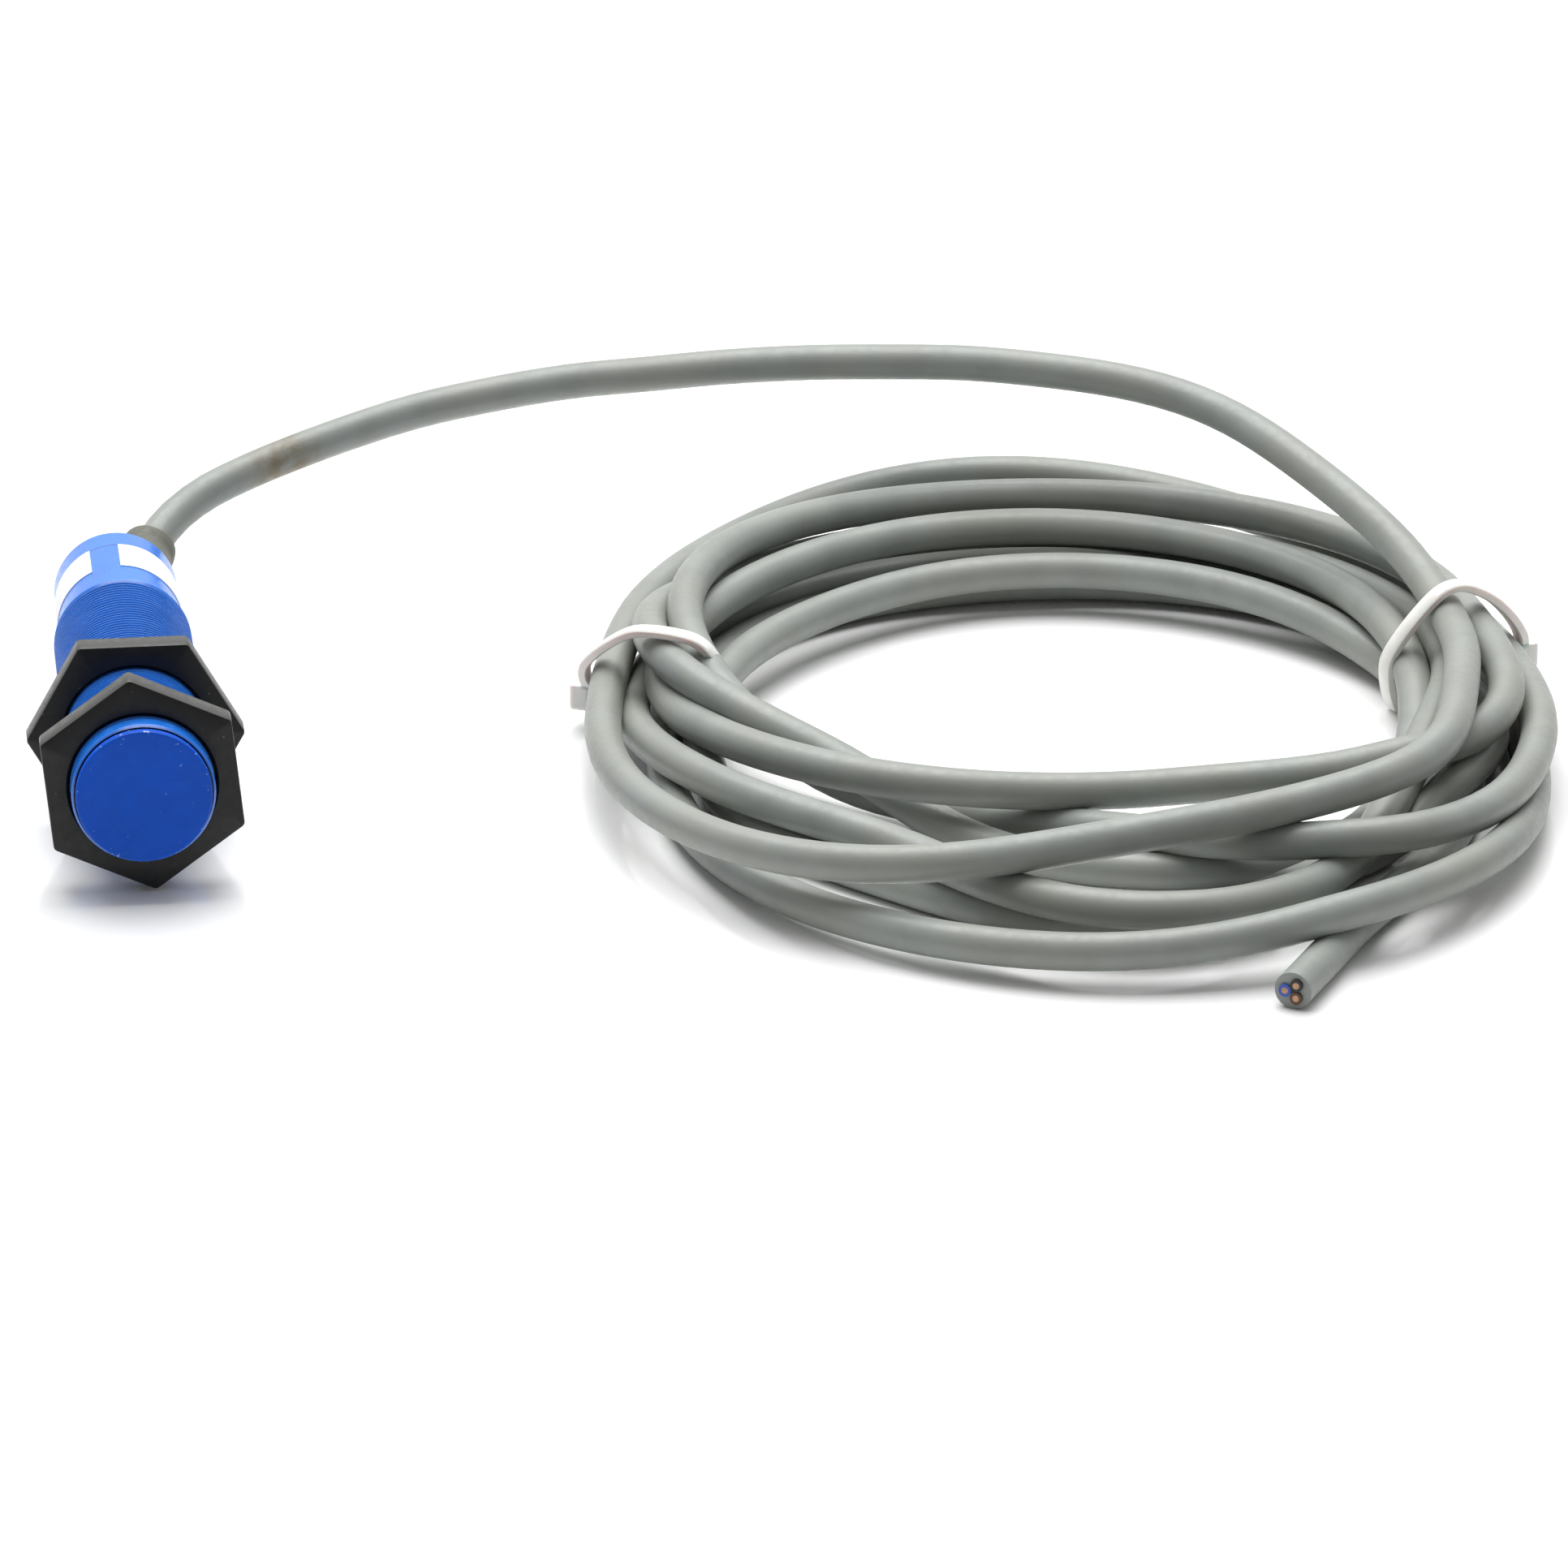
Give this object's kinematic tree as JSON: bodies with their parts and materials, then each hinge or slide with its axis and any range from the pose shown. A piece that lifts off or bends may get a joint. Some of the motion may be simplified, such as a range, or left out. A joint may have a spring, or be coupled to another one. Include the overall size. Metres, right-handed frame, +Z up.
{
  "type": "cylindrical proximity sensor",
  "caption": "Cylindrical proximity sensor with a threaded plastic barrel, hexagon lock nuts, an off-axis strain relief and a grey lead tied in a loose coil.",
  "frame": {"origin": "on the floor under the middle of the sensor without its lead", "axes": "+Z up; +Y runs back along the sensor, from the sensing face to the lead; +X to the right, where the coil lies"},
  "size_m": [0.2014, 0.1618, 0.0309],
  "materials": {
    "housing_blue": "moulded, semi-gloss",
    "face_blue": "moulded, matte",
    "boot_grey": "matte",
    "label_white": "matte film",
    "nut_black": "moulded, fine grain",
    "jacket_grey": "soft PVC, satin",
    "tie_nylon": "translucent nylon, satin",
    "brass": "satin",
    "copper": "bare copper",
    "tinned": "tinned",
    "core_brown": "satin",
    "core_blue": "satin",
    "core_black": "satin",
    "board_green": "solder resist",
    "chip_black": "moulded",
    "capacitor_tan": "fired",
    "tantalum_amber": "moulded",
    "trimmer_blue": "moulded",
    "led_amber": "tinted clear resin",
    "resin_brown": "cast",
    "carrier_ivory": "moulded"
  },
  "bodies": {
    "sensor": {"housing": "housing_blue", "rear_cap": "housing_blue", "sensing_face": "face_blue", "strain_relief": "boot_grey", "label": "label_white", "trimmer_body": "trimmer_blue", "indicator_led": "led_amber", "led_leads": "tinned", "electrode_disc": "copper", "guard_ring": "copper", "electrode_carrier": "carrier_ivory", "electrode_pins": "tinned", "shield_sleeve": "brass", "circuit_board": "board_green", "oscillator_chip": "chip_black", "comparator_chip": "chip_black", "output_transistor": "chip_black", "tantalum_capacitor": "tantalum_amber", "chip_capacitors": "capacitor_tan", "chip_resistors": "chip_black", "protection_diodes": "chip_black", "solder_joints": "tinned", "potting_resin": "resin_brown", "inner_core_brown": "core_brown", "inner_core_blue": "core_blue", "inner_core_black": "core_black", "cable_entry": "jacket_grey", "cable_run": "jacket_grey", "cable_coil": "jacket_grey", "cable_tail": "jacket_grey", "core_end_brown": "core_brown", "core_end_blue": "core_blue", "core_end_black": "core_black", "conductor_ends": "copper", "cable_tie_left": "tie_nylon", "cable_tie_right": "tie_nylon"},
    "front_nut": {"front_nut": "nut_black"},
    "rear_nut": {"rear_nut": "nut_black"},
    "sensitivity_screw": {"sensitivity_screw": "brass"}
  },
  "joints": [
    {"name": "front_nut_travel", "type": "slide", "parent": "sensor", "child": "front_nut", "axis": [0, 0.9973, -0.0729], "range_m": [-0.0028, 0.007]},
    {"name": "rear_nut_travel", "type": "slide", "parent": "sensor", "child": "rear_nut", "axis": [0, 0.9973, -0.0729], "range_m": [-0.007, 0.0345]},
    {"name": "sensitivity_turn", "type": "hinge", "parent": "sensor", "child": "sensitivity_screw", "pos_m": [-0.0039, 0.03206, 0.0058], "axis": [0, 0.9973, -0.0729], "range_deg": [-135, 135]}
  ]
}
